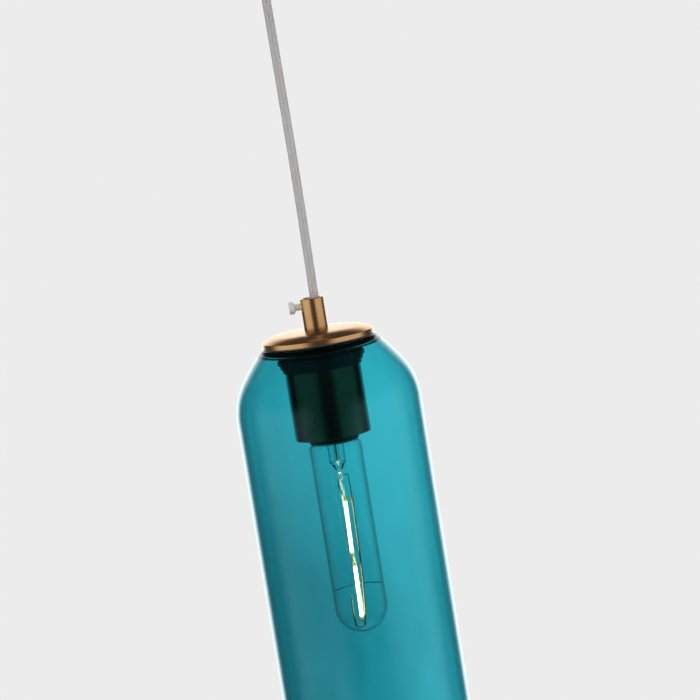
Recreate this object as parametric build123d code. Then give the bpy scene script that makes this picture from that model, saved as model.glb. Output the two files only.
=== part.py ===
from build123d import *
import math
import os

# Glass pendant lamp. Z is up and the origin is on the ceiling, at the middle of the canopy.
# All sizes are in millimetres.

# Clearances
slip_fit = 0.05            # radial, pieces that slide or turn in each other
loose_fit = 0.3            # radial, a cord or pin in its hole
seat_gap = 0.2             # between faces that nearly touch

# Cord
cord_radius = 2.75
cord_run = 190.0           # bare cord between the two grips
cord_offset = 1.8          # the grip screws push the cord off the middle by this much
tail_offset = 0.9          # where it runs through the nipples
tail_straight = 2.3        # height behind the grip screw before it moves across
tail_jog = 3.2             # height over which it moves across
core_radius = 0.8          # one insulated core inside the cord
core_spacing = 2.4         # between the middles of the two cores

# Cord grips, one at each end of the cord
grip_radius = 7.1
grip_length = 18.0
grip_edge = 0.5            # rounding of the outer edge at the mouth
bell_depth = 1.6           # flare at the mouth, where the cord bends
bell_flare = 0.8           # how much wider the flare is than the bore
socket_depth = 9.0         # threaded socket for the nipple
screw_drop = 4.4           # grip screw axis, from the mouth

# Threaded nipples, M10
nipple_radius = 5.0
nipple_bore = 4.0
nipple_grip_turns = 8.0    # length inside a grip's socket
nut_flats = 14.0
nut_height = 3.0
nipple_spare = 2.0         # thread left bare beyond a nut
washer_radius = 9.0
washer_height = 1.0

# Thumb screw, M4, and the grub screw of the ceiling grip
screw_radius = 2.0
screw_standoff = 3.0       # bare shank between grip and head
thumb_head_radius = 3.75
thumb_head_length = 3.8
thumb_head_chamfer = 0.6
thumb_knurls = 24
thumb_spigot_radius = 1.5
thumb_spigot_length = 2.6
grub_hex_flats = 2.0

# Ceiling canopy
canopy_radius = 50.0
canopy_height = 25.0
canopy_wall = 1.2
canopy_edge = 5.0          # outer rounding of the lower edge

# Ceiling bracket and the screws through the canopy's side
bracket_width = 16.0
bracket_sheet = 1.5
bracket_tab = 14.0
bracket_bend = 2.5
slot_spacing = 72.0
slot_width = 4.5
slot_length = 12.0
side_screw_drop = 9.0
side_screw_radius = 2.0
side_screw_length = 8.0
side_head_radius = 3.6
side_head_height = 2.2

# Terminal block under the bracket
block_length = 20.0
block_width = 16.0
block_height = 12.0
block_offset = 18.0
block_bore = 1.6
block_pitch = 8.0
block_screw_radius = 1.5

# Domed cap over the glass
cap_radius = 33.2
cap_rim = 3.0              # height of the straight rim
cap_rise = 4.7             # dome above the rim
cap_seat = 7.3             # flat at the middle, under the grip
cap_shoulder_radius = 24.8
cap_shoulder_rise = 3.4    # above the rim
cap_recess_radius = 28.5
cap_recess_depth = 3.2
cap_edge = 0.35

# Glass shade
shade_radius = 55.0
shade_length = 300.0
shade_wall = 2.8
shade_dome = 40.5          # height of the curved shoulder
shade_flat_margin = 1.4    # flat top beyond the cap's edge
shade_flat_edge = 0.8
shade_turn_out = 0.642     # where the two arcs of the shoulder meet, as a share of its width
shade_turn_down = 0.413    # and of its height
shade_flange = 4.0         # thickness of the flat top
shade_hole_gap = 0.7       # radial, round the holder sleeve
shade_rim_round = 1.25

# Clamping stack
gasket_sheet = 0.5
gasket_width = 4.0
plate_sheet = 1.2
plate_gap = 1.8            # between plate and glass wall
rubber_radius = 25.0
rubber_height = 2.6
ring_radius = 26.0
ring_step = 1.25           # each of the ring nut's steps is this much smaller
ring_step_height = 2.55
ring_steps = 3

# Holder sleeve
sleeve_radius = 22.5
sleeve_length = 60.0
sleeve_wall = 1.0

# Lamp holder
holder_fit = 0.6           # radial, inside the sleeve
holder_neck_radius = 9.0
holder_neck = 10.0
holder_dome = 6.0
holder_wall = 2.0
holder_skirt = 12.0
holder_lip_radius = 14.8
holder_lip = 3.1           # below the sleeve
holder_recess = 0.5        # body above the sleeve's lower edge
terminal_spacing = 20.0
terminal_radius = 1.7
terminal_head_radius = 3.0
terminal_head = 2.0
shell_wall = 0.4
shell_clearance = 0.25     # radial, round the bulb's thread
shell_flange = 4.0
contact_width = 5.0
contact_sheet = 0.4
contact_dimple_radius = 2.0
contact_dimple = 1.0
contact_gap = 0.3

# Bulb base, E27
base_crest = 13.1
base_root = 12.2
base_wall = 0.35
base_pitch = 3.63
base_turns = 5
base_skirt = 2.0
base_cone = 3.0
base_cone_radius = 8.2
base_rim_inset = 0.5       # base rim above the holder's lip
insulator_height = 2.3
bulb_contact_radius = 4.6
bulb_contact_height = 1.0

# Bulb glass
bulb_radius = 15.75
bulb_length = 115.7        # below the base
bulb_wall = 0.75
bulb_shoulder = 4.0
bulb_neck_radius = 10.8
bulb_neck = 12.0
stem_radius = 5.15
stem_wall = 0.8
stem_length = 12.4         # straight part of the stem below the shoulder's top
stem_taper = 5.1
stem_tip_radius = 2.0
bead_radius = 1.75
bead_drop = 3.1            # bead's middle below the stem's tip
bead_neck_radius = 0.7
exhaust_radius = 1.6
exhaust_wall = 0.45
inner_lead_offset = 2.9
thin_wire_radius = 0.28
thick_wire_radius = 0.5
crimp_radius = 0.95
crimp_length = 4.0
filament_width = 1.9
filament_depth = 1.3
filament_length = 33.4
filament_gap = 5.6
filament_front = 0.7       # filaments stand this far in front of the axis
filament_drop = 35.4       # first filament below the shoulder's top
upper_lean = (0.6, -0.4)   # sideways place of the upper filament's two ends
lower_lean = (0.1, -0.7)
crimp_x = 4.9
crimp_above = 2.0          # crimp sleeve's top above the upper filament
wire_gap = 0.05            # between the end of a wire and what it meets
anchor_drop = 87.0

# Heights worked down from the ceiling
ceiling_mouth = -canopy_height - grip_length
lamp_mouth = ceiling_mouth - cord_run
grip_foot = lamp_mouth - grip_length
rim_z = grip_foot - cap_rise - cap_rim
upper_pivot = ceiling_mouth + bell_depth
lower_pivot = lamp_mouth - bell_depth
glass_top = rim_z - gasket_sheet
flange_under = glass_top - shade_flange
plate_top = flange_under - gasket_sheet
plate_under = plate_top - plate_sheet
ring_top = plate_under - rubber_height
sleeve_top = rim_z + cap_recess_depth
sleeve_bottom = sleeve_top - sleeve_length
lamp_nut_top = sleeve_top - sleeve_wall - washer_height
holder_top = lamp_nut_top - nut_height - seat_gap
holder_split = holder_top - holder_neck - holder_dome - holder_skirt
lip_z = sleeve_bottom - holder_lip
base_rim_z = lip_z + base_rim_inset
base_thread_top = base_rim_z + base_skirt + base_turns * base_pitch
insulator_z = base_thread_top + base_cone
base_top = insulator_z + insulator_height + bulb_contact_height
holder_floor = base_top + contact_gap + contact_dimple + contact_sheet
bulb_top = lip_z - seat_gap
stem_foot = bulb_top - stem_length
stem_tip = stem_foot - stem_taper
bead_z = stem_tip - bead_drop
upper_start = bulb_top - filament_drop
upper_end = upper_start - filament_length
lower_start = upper_end - filament_gap
lower_end = lower_start - filament_length
crimp_top = upper_start + crimp_above

# Sizes that follow from the fits
cord_bore = cord_offset + cord_radius + loose_fit
shade_hole = sleeve_radius + shade_hole_gap
holder_radius = sleeve_radius - sleeve_wall - holder_fit
shell_bore = base_crest + shell_clearance


def turned(outline):
    # Solid of revolution about Z from an outline in radius and height
    return revolve(Plane.XZ * make_face(outline), Axis.Z)


def tube(outer, inner, low, high):
    return turned(Polyline((inner, low), (outer, low), (outer, high), (inner, high), close=True))


def rod(radius, low, high):
    return Pos(0, 0, low) * Cylinder(radius, high - low, align=(Align.CENTER, Align.CENTER, Align.MIN))


def cross_rod(radius, start, end, z):
    # Rod along X between two values of x
    low = min(start, end)
    bar = Cylinder(radius, abs(end - start), align=(Align.CENTER, Align.CENTER, Align.MIN))
    return Pos(low, 0, z) * Rot(0, 90, 0) * bar


def wire(points, bend, radius):
    # Round wire along straight runs joined by arcs
    path = FilletPolyline(*points, radius=bend)
    return sweep(Plane(origin=path @ 0, z_dir=path % 0) * Circle(radius), path=path)


def hex_nut(low):
    blank = extrude(RegularPolygon(nut_flats / 2, 6, major_radius=False), nut_height)
    return Pos(0, 0, low) * blank - rod(nipple_radius + slip_fit, low, low + nut_height)


def nipple(low, high):
    return tube(nipple_radius, nipple_bore, low, high)


def cord_grip():
    # Upright grip with its mouth at z = 0, pointing up, and its screw hole towards -X
    outline = Polyline(
        (cord_bore, -bell_depth),
        (cord_bore + bell_flare, 0),
        (grip_radius, 0),
        (grip_radius, -grip_length),
        (nipple_radius + slip_fit, -grip_length),
        (nipple_radius + slip_fit, socket_depth - grip_length),
        (cord_bore, socket_depth - grip_length),
        close=True,
    )
    body = turned(outline)
    rim = body.edges().filter_by(GeomType.CIRCLE).filter_by(lambda e: abs(e.radius - grip_radius) < 1e-3)
    body = fillet(rim.sort_by(Axis.Z)[-1], grip_edge)
    return body - cross_rod(screw_radius + slip_fit, 0, -grip_radius - 1, -screw_drop)


def grip_screw_tip():
    return cord_offset - cord_radius - seat_gap


def thumb_screw_shank():
    # Plain shank with a narrower spigot that carries the knurled head
    end = -grip_radius - screw_standoff
    z = lamp_mouth - screw_drop
    shank = cross_rod(screw_radius, grip_screw_tip(), end, z)
    return shank + cross_rod(thumb_spigot_radius, end, end - thumb_spigot_length, z)


def thumb_screw_head():
    # Knurled disc on the spigot, chamfered towards the grip
    disc = Circle(thumb_head_radius)
    notch = Rot(0, 0, 45) * Rectangle(0.5, 0.5)
    for step in range(thumb_knurls):
        turn = Rot(0, 0, 360 * step / thumb_knurls)
        disc -= turn * Pos(thumb_head_radius + 0.05, 0) * notch
    head = extrude(disc, thumb_head_length)
    blank = turned(
        Polyline(
            (0, 0),
            (thumb_head_radius - 2 * thumb_head_chamfer, 0),
            (thumb_head_radius, 2 * thumb_head_chamfer),
            (thumb_head_radius, thumb_head_length - thumb_head_chamfer / 2),
            (thumb_head_radius - thumb_head_chamfer / 2, thumb_head_length),
            (0, thumb_head_length),
            close=True,
        )
    )
    bore = rod(thumb_spigot_radius + slip_fit, 0, thumb_spigot_length + slip_fit)
    head = (head & blank) - bore
    start = -grip_radius - screw_standoff - slip_fit
    return Pos(start, 0, lamp_mouth - screw_drop) * Rot(0, -90, 0) * head


def ceiling_grip_screw():
    # Grub screw flush with the grip's side, with a hexagon socket
    z = ceiling_mouth + screw_drop
    end = -grip_radius + 0.3
    body = cross_rod(screw_radius, grip_screw_tip(), end, z)
    socket = extrude(RegularPolygon(grub_hex_flats / 2, 6, major_radius=False), 1.5)
    return body - Pos(end, 0, z) * Rot(0, 90, 0) * socket


def canopy():
    inner_edge = canopy_edge - canopy_wall
    cup = rod(canopy_radius, -canopy_height, 0)
    cup = fillet(cup.edges().sort_by(Axis.Z)[0], canopy_edge)
    hollow = rod(canopy_radius - canopy_wall, canopy_wall - canopy_height, 1)
    hollow = fillet(hollow.edges().sort_by(Axis.Z)[0], inner_edge)
    cup -= hollow
    cup -= rod(nipple_radius + slip_fit, -canopy_height - 1, 0)
    reach = canopy_radius + 1
    return cup - cross_rod(side_screw_radius + slip_fit, -reach, reach, -side_screw_drop)


def bracket_reach():
    # Outer face of the bracket's tabs, just inside the canopy's round wall
    inside = canopy_radius - canopy_wall
    return math.sqrt(inside**2 - (bracket_width / 2) ** 2) - seat_gap


def ceiling_bracket():
    # Strap on the ceiling with both ends bent down
    reach = bracket_reach()
    outer = Rectangle(2 * reach, bracket_tab, align=(Align.CENTER, Align.MAX))
    inner = Pos(0, -bracket_sheet) * Rectangle(
        2 * (reach - bracket_sheet), bracket_tab, align=(Align.CENTER, Align.MAX)
    )
    outer = fillet(outer.vertices().group_by(Axis.Y)[-1], bracket_bend)
    inner = fillet(inner.vertices().group_by(Axis.Y)[-1], bracket_bend - bracket_sheet)
    strap = extrude(Plane.XZ * (outer - inner), bracket_width / 2, both=True)
    for side in (-1, 1):
        slot = extrude(SlotOverall(slot_length, slot_width), -3 * bracket_sheet)
        strap -= Pos(side * slot_spacing / 2, 0, bracket_sheet) * slot
    return strap - cross_rod(side_screw_radius + slip_fit, -reach - 1, reach + 1, -side_screw_drop)


def canopy_side_screws():
    screws = []
    for side in (-1, 1):
        head_start = side * (canopy_radius + slip_fit)
        head_end = side * (canopy_radius + side_head_height)
        shank_end = side * (canopy_radius - side_screw_length)
        shank = cross_rod(side_screw_radius, shank_end, head_start, -side_screw_drop)
        head = cross_rod(side_head_radius, head_start, head_end, -side_screw_drop)
        far = head.edges().filter_by(GeomType.CIRCLE).sort_by(Axis.X)[-1 if side > 0 else 0]
        head = fillet(far, side_head_height / 2)
        slot = Pos(head_end, 0, -side_screw_drop) * Box(side_head_height / 2, 0.8, 3 * side_head_radius)
        screws.append(shank + head - slot)
    return Compound(children=screws)


def terminal_block():
    top = -bracket_sheet
    block = Pos(block_offset, 0, top) * Box(
        block_length, block_width, block_height, align=(Align.CENTER, Align.CENTER, Align.MAX)
    )
    block = fillet(block.edges().filter_by(Axis.X), 1.0)
    for side in (-1, 1):
        y = side * block_pitch / 2
        block -= Pos(0, y, 0) * cross_rod(
            block_bore, block_offset - block_length, block_offset + block_length, top - block_height / 2
        )
        well = rod(block_screw_radius + slip_fit, top - block_height, top - block_height / 2)
        block -= Pos(block_offset, y, 0) * well
    return block


def terminal_block_screws():
    low = -bracket_sheet - block_height
    high = low + block_height / 2 - block_bore / 2
    pins = []
    for side in (-1, 1):
        pin = rod(block_screw_radius, low + 0.3, high)
        slot = Pos(0, 0, low) * Box(3 * block_screw_radius, 0.5, 1.6)
        pins.append(Pos(block_offset, side * block_pitch / 2, 0) * (pin - slot))
    return Compound(children=pins)


def cord():
    # Straight run between the grips, rounded at the two places where it bends
    return Pos(cord_offset, 0, 0) * (
        rod(cord_radius, lower_pivot, upper_pivot)
        + Pos(0, 0, upper_pivot) * Sphere(cord_radius)
        + Pos(0, 0, lower_pivot) * Sphere(cord_radius)
    )


def ceiling_tail_top():
    return canopy_wall - canopy_height + nut_height + 2 * nipple_spare


def lamp_tail_foot():
    return holder_top - holder_neck - seat_gap


def cord_tail(start, end):
    # The cord beyond its bending point, which moves across into the nipple
    way = 1 if end > start else -1
    route = (
        (cord_offset, 0, start),
        (cord_offset, 0, start + way * tail_straight),
        (tail_offset, 0, start + way * (tail_straight + tail_jog)),
        (tail_offset, 0, end),
    )
    return wire(route, 2.5 * cord_radius, cord_radius)


def ceiling_cord_tail():
    return cord_tail(upper_pivot + cord_radius + seat_gap, ceiling_tail_top())


def lamp_cord_tail():
    return cord_tail(lower_pivot - cord_radius - seat_gap, lamp_tail_foot())


def ceiling_cores():
    # Two insulated cores from the cord's end into the terminal block
    start = ceiling_tail_top()
    bore_z = -bracket_sheet - block_height / 2
    near = block_offset - block_length / 2
    cores = []
    for side in (-1, 1):
        route = (
            (tail_offset, side * core_spacing / 2, start),
            (tail_offset, side * core_spacing / 2, bore_z),
            (near - 4, side * block_pitch / 2, bore_z),
            (near + 3, side * block_pitch / 2, bore_z),
        )
        cores.append(wire(route, (2.5, 2.0), core_radius))
    return Compound(children=cores)


def lamp_cores():
    # Two insulated cores from the cord's end to the holder's terminals
    start = lamp_tail_foot()
    end_x = terminal_spacing / 2 - terminal_head_radius - seat_gap
    level = holder_split + holder_plate_rise() + terminal_head / 2
    cores = []
    for side in (-1, 1):
        route = (
            (tail_offset + side * core_spacing / 2, 0, start),
            (tail_offset + side * core_spacing / 2, 0, level),
            (side * end_x, 0, level),
        )
        cores.append(wire(route, 2.5, core_radius))
    return Compound(children=cores)


def cap_disc():
    # Domed disc, flat under the grip, with a recess below for the holder sleeve
    top = grip_foot
    shoulder = (cap_shoulder_radius, rim_z + cap_rim + cap_shoulder_rise)
    crown = TangentArc((cap_seat, top), shoulder, tangent=(1, 0))
    fall = TangentArc(shoulder, (cap_radius, rim_z + cap_rim), tangent=crown % 1)
    rest = Polyline(
        (cap_radius, rim_z + cap_rim),
        (cap_radius, rim_z),
        (cap_recess_radius, rim_z),
        (cap_recess_radius, sleeve_top),
        (nipple_radius + slip_fit, sleeve_top),
        (nipple_radius + slip_fit, top),
        (cap_seat, top),
    )
    disc = turned([crown, fall, rest])
    corners = disc.edges().filter_by(GeomType.CIRCLE).filter_by(lambda e: abs(e.radius - cap_radius) < 1e-3)
    return fillet(corners, cap_edge)


def gasket(inner, outer, top):
    return tube(outer, inner, top - gasket_sheet, top)


def shoulder_arcs():
    # The two tangent circles of the glass shoulder: (centre r, centre z, radius, lowest z, highest z)
    edge_r = cap_radius + shade_flat_margin
    edge_z = glass_top - shade_flat_edge
    wall_z = glass_top - shade_dome
    width = shade_radius - edge_r
    turn_r = edge_r + shade_turn_out * width
    turn_z = edge_z - shade_turn_down * (edge_z - wall_z)
    rise = turn_z - wall_z
    inset = shade_radius - turn_r
    lower = (rise**2 + inset**2) / (2 * inset)
    lower_r = shade_radius - lower
    toward_r = (lower_r - turn_r) / lower
    toward_z = (wall_z - turn_z) / lower
    step_r = edge_r - turn_r
    step_z = edge_z - turn_z
    upper = (step_r**2 + step_z**2) / (2 * (step_r * toward_r + step_z * toward_z))
    return (
        (lower_r, wall_z, lower, wall_z, turn_z),
        (turn_r + upper * toward_r, turn_z + upper * toward_z, upper, turn_z, edge_z),
    )


def radius_on(arc, z, inset):
    # Radius of the shoulder at a height, on the circle moved inwards by the inset
    return arc[0] + math.sqrt((arc[2] - inset) ** 2 - (z - arc[1]) ** 2)


def profile_arc(arc, low, high, inset):
    middle = (low + high) / 2
    points = [(radius_on(arc, z, inset), z) for z in (low, middle, high)]
    return ThreePointArc(*points)


def glass_shade():
    # One wall of even thickness under a flat top, open below
    bottom = glass_top - shade_length
    lower, upper = shoulder_arcs()
    shrink = (upper[2] - shade_wall) / upper[2]
    inner_turn = upper[1] + (lower[4] - upper[1]) * shrink
    outer_curve = [
        profile_arc(lower, lower[3], lower[4], 0),
        profile_arc(upper, upper[3], upper[4], 0),
    ]
    inner_curve = [
        profile_arc(lower, lower[3], inner_turn, shade_wall),
        profile_arc(upper, inner_turn, flange_under, shade_wall),
    ]
    flat_r = radius_on(upper, upper[4], 0) - shade_flat_edge
    top = [
        Line(outer_curve[1] @ 1, (flat_r, glass_top)),
        Polyline((flat_r, glass_top), (shade_hole, glass_top), (shade_hole, flange_under), inner_curve[1] @ 1),
    ]
    foot = Polyline(
        inner_curve[0] @ 0,
        (shade_radius - shade_wall, bottom),
        (shade_radius, bottom),
        outer_curve[0] @ 0,
    )
    shade = turned([*outer_curve, *top, *inner_curve, foot])
    return fillet(shade.edges().group_by(Axis.Z)[0], shade_rim_round)


def clamp_plate():
    outer = radius_on(shoulder_arcs()[1], plate_under, shade_wall) - plate_gap
    return tube(outer, shade_hole, plate_under, plate_top)


def rubber_washer():
    return tube(rubber_radius, sleeve_radius + slip_fit, ring_top, plate_under)


def ring_nut():
    # Three steps, each smaller than the one above
    points = [(sleeve_radius + slip_fit, ring_top)]
    for step in range(ring_steps):
        radius = ring_radius - step * ring_step
        points.append((radius, ring_top - step * ring_step_height))
        points.append((radius, ring_top - (step + 1) * ring_step_height))
    points.append((sleeve_radius + slip_fit, ring_top - ring_steps * ring_step_height))
    return turned(Polyline(*points, close=True))


def holder_sleeve():
    # Cup with its closed end up, under the cap
    cup = rod(sleeve_radius, sleeve_bottom, sleeve_top)
    cup -= rod(sleeve_radius - sleeve_wall, sleeve_bottom - 1, sleeve_top - sleeve_wall)
    cup -= rod(nipple_radius + slip_fit, sleeve_bottom, sleeve_top + 1)
    return fillet(cup.edges().filter_by(GeomType.CIRCLE).group_by(Axis.Z)[0], 0.3)


def holder_plate_rise():
    # How far the holder body's top plate stands up inside the holder cap's skirt
    return 6.0


def holder_cap():
    # Dome that screws onto the nipple and holds the body by its skirt
    neck_foot = holder_top - holder_neck
    skirt_top = neck_foot - holder_dome
    bore = nipple_radius + slip_fit
    return turned(
        Polyline(
            (bore, holder_top),
            (holder_neck_radius, holder_top),
            (holder_neck_radius, neck_foot),
            (holder_radius, skirt_top),
            (holder_radius, holder_split),
            (holder_radius - holder_wall, holder_split),
            (holder_radius - holder_wall, skirt_top - holder_wall / 2),
            (holder_neck_radius - 1, neck_foot - holder_wall),
            (bore, neck_foot - holder_wall),
            close=True,
        )
    )


def holder_body():
    # Insulating body round the screw shell, with a narrower lip below the sleeve
    plug_r = holder_radius - holder_wall - slip_fit
    top = holder_split + holder_plate_rise()
    shoulder_z = sleeve_bottom + holder_recess
    bore = shell_bore + shell_wall + slip_fit
    body = turned(
        Polyline(
            (0, top),
            (plug_r, top),
            (plug_r, holder_split),
            (holder_radius, holder_split),
            (holder_radius, shoulder_z),
            (holder_lip_radius, shoulder_z),
            (holder_lip_radius, lip_z),
            (bore, lip_z),
            (bore, holder_floor),
            (0, holder_floor),
            close=True,
        )
    )
    for side in (-1, 1):
        x = side * terminal_spacing / 2
        body -= Pos(x, 0, 0) * rod(terminal_radius + slip_fit, top - 5, top + 1)
    return body


def terminal_screws():
    top = holder_split + holder_plate_rise()
    screws = []
    for side in (-1, 1):
        x = side * terminal_spacing / 2
        shank = rod(terminal_radius, top - 4.5, top)
        head = rod(terminal_head_radius, top, top + terminal_head)
        slot = Pos(0, 0, top + terminal_head) * Box(0.8, 3 * terminal_head_radius, terminal_head)
        screws.append(Pos(x, 0, 0) * (shank + head - slot))
    return Compound(children=screws)


def screw_shell():
    # Plain sleeve with an inward flange, in which the bulb's thread runs
    outer = shell_bore + shell_wall
    return turned(
        Polyline(
            (outer, lip_z + base_rim_inset),
            (outer, holder_floor),
            (outer - shell_flange, holder_floor),
            (outer - shell_flange, holder_floor - shell_wall),
            (shell_bore, holder_floor - shell_wall),
            (shell_bore, lip_z + base_rim_inset),
            close=True,
        )
    )


def centre_contact():
    # Tongue on the holder's floor with a dimple over the bulb's contact
    reach = shell_bore + shell_wall - shell_flange - 1.2
    tongue = Pos(-reach, 0, holder_floor) * Box(
        reach + contact_width / 2,
        contact_width,
        contact_sheet,
        align=(Align.MIN, Align.CENTER, Align.MAX),
    )
    low = holder_floor - contact_sheet - contact_dimple
    return tongue + rod(contact_dimple_radius, low, holder_floor - contact_sheet / 2)


def bulb_base_shell():
    # Thin shell: plain skirt, rounded thread, then a cone up to the insulator
    def side(inset):
        lines = [Line((base_root - inset, base_rim_z), (base_root - inset, base_rim_z + base_skirt))]
        for step in range(base_turns):
            low = base_rim_z + base_skirt + step * base_pitch
            lines.append(
                ThreePointArc(
                    (base_root - inset, low),
                    (base_crest - inset, low + base_pitch / 2),
                    (base_root - inset, low + base_pitch),
                )
            )
        lines.append(Line((base_root - inset, base_thread_top), (base_cone_radius - inset, insulator_z)))
        return lines

    ends = [
        Line((base_cone_radius, insulator_z), (base_cone_radius - base_wall, insulator_z)),
        Line((base_root, base_rim_z), (base_root - base_wall, base_rim_z)),
    ]
    return turned([*side(0), *side(base_wall), *ends])


def bulb_insulator():
    top = insulator_z + insulator_height
    return turned(
        Polyline(
            (0, insulator_z),
            (base_cone_radius, insulator_z),
            (bulb_contact_radius + 0.4, top),
            (0, top),
            close=True,
        )
    )


def bulb_contact():
    low = insulator_z + insulator_height
    return rod(bulb_contact_radius, low, base_top)


def base_cement():
    top = bulb_top + bulb_neck
    return tube(base_root - base_wall - slip_fit, bulb_neck_radius + slip_fit, base_rim_z + 0.6, top)


def bulb_glass():
    # Tubular envelope: round end below, rounded shoulder above and a neck inside the base
    tip = bulb_top - bulb_length
    centre = tip + bulb_radius
    neck_top = bulb_top + bulb_neck

    def envelope(inset):
        radius = bulb_radius - inset
        shoulder = bulb_shoulder - inset
        top = bulb_top - inset
        neck = bulb_neck_radius - inset
        diagonal = math.sin(math.radians(45))
        return [
            Line((neck, neck_top), (neck, top)),
            Line((neck, top), (radius - shoulder, top)),
            ThreePointArc(
                (radius - shoulder, top),
                (radius - shoulder * (1 - diagonal), top - shoulder * (1 - diagonal)),
                (radius, top - shoulder),
            ),
            Line((radius, top - shoulder), (radius, centre)),
            ThreePointArc(
                (radius, centre),
                (radius * diagonal, centre - radius * diagonal),
                (0, centre - radius),
            ),
        ]

    ends = [
        Line((bulb_neck_radius, neck_top), (bulb_neck_radius - bulb_wall, neck_top)),
        Line((0, tip), (0, tip + bulb_wall)),
    ]
    return turned([*envelope(0), *envelope(bulb_wall), *ends])


def glass_mount():
    # Flared glass stem, pinched shut below, with a bead that holds the wires
    flare_r = bulb_neck_radius - bulb_wall - slip_fit
    flare_z = bulb_top + bulb_neck - 1
    inner = stem_radius - stem_wall
    stem = turned(
        Polyline(
            (inner, flare_z),
            (flare_r, flare_z),
            (flare_r, flare_z - stem_wall),
            (stem_radius, flare_z - 5),
            (stem_radius, stem_foot),
            (stem_tip_radius, stem_tip),
            (0, stem_tip),
            (0, stem_foot - 1),
            (inner, stem_foot),
            close=True,
        )
    )
    neck = rod(bead_neck_radius, bead_z, stem_tip + 0.5)
    return stem + neck + Pos(0, 0, bead_z) * Sphere(bead_radius)


def exhaust_tube():
    return tube(exhaust_radius, exhaust_radius - exhaust_wall, stem_foot + seat_gap, bulb_top + bulb_neck)


def inner_leads():
    leads = []
    for side in (-1, 1):
        lead = rod(thin_wire_radius, stem_foot + seat_gap, bulb_top + bulb_neck)
        leads.append(Pos(0.25 * side, side * inner_lead_offset, 0) * lead)
    return Compound(children=leads)


def short_lead():
    # Kinked wire from the bead to the first filament
    route = (
        (-0.6, 0, bead_z - bead_radius - wire_gap),
        (-1.7, 0, bead_z - 3.8),
        (-2.1, 0, bead_z - 7.0),
        (-0.9, -filament_front / 2, bead_z - 10.4),
        (upper_lean[0], -filament_front, upper_start + wire_gap),
    )
    return wire(route, 1.0, thin_wire_radius)


def long_lead():
    # Wire from the bead out to the crimp sleeve
    route = (
        (bead_radius + wire_gap, 0, bead_z - 0.4),
        (crimp_x - 0.2, 0, bead_z - 0.2),
        (crimp_x, 0, crimp_top + wire_gap),
    )
    return wire(route, 0.6, thin_wire_radius)


def crimp_sleeve():
    return Pos(crimp_x, 0, 0) * rod(crimp_radius, crimp_top - crimp_length, crimp_top)


def return_wire():
    # Thick wire down past both filaments, round below them and up on the other side
    route = (
        (crimp_x, 0, crimp_top - crimp_length - wire_gap),
        (3.7, 0, lower_end + 26.0),
        (2.2, 0, lower_end + 8.0),
        (0.45, 0, lower_end - 5.2),
        (-4.9, 0, lower_end - 5.2),
        (-5.3, 0, lower_end + 6.0),
        (-5.0, 0, lower_end + 15.0),
    )
    return wire(route, (200, 100, 2.5, 2.4, 100), thick_wire_radius)


def filament(lean, start, end):
    # Flat strip between two heights, from one sideways place to the other
    low = Vector(lean[1], -filament_front, end)
    high = Vector(lean[0], -filament_front, start)
    section = RectangleRounded(filament_width, filament_depth, filament_depth / 3)
    frame = Plane(origin=low, x_dir=(1, 0, 0), z_dir=high - low)
    return extrude(frame * section, (high - low).length)


def filament_link():
    route = (
        (upper_lean[1], -filament_front, upper_end - wire_gap),
        (upper_lean[1] - 0.5, -filament_front, upper_end - 0.5 * filament_gap),
        (lower_lean[0], -filament_front, lower_start + wire_gap),
    )
    return wire(route, 1.5, thin_wire_radius)


def filament_tail():
    # Short tab from the lower filament to the return wire
    route = (
        (lower_lean[1], -filament_front, lower_end - wire_gap),
        (lower_lean[1] + 0.3, -filament_front, lower_end - 1.4),
        (lower_lean[1] + 0.9, -filament_front - 0.2, lower_end - 3.6),
    )
    return wire(route, 0.8, thin_wire_radius)


def anchor_wire():
    # Fine springy wire that steadies the leads against the glass
    z = bulb_top - anchor_drop
    reach = bulb_radius - bulb_wall - thin_wire_radius - seat_gap
    behind = thick_wire_radius + thin_wire_radius + seat_gap
    path = ThreePointArc((-reach, behind, z - 2.2), (0, behind + 0.4, z), (reach, behind, z - 1.5))
    return sweep(Plane(origin=path @ 0, z_dir=path % 0) * Circle(thin_wire_radius), path=path)


def lamp_nipple_foot():
    return holder_top - holder_neck + seat_gap


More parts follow.
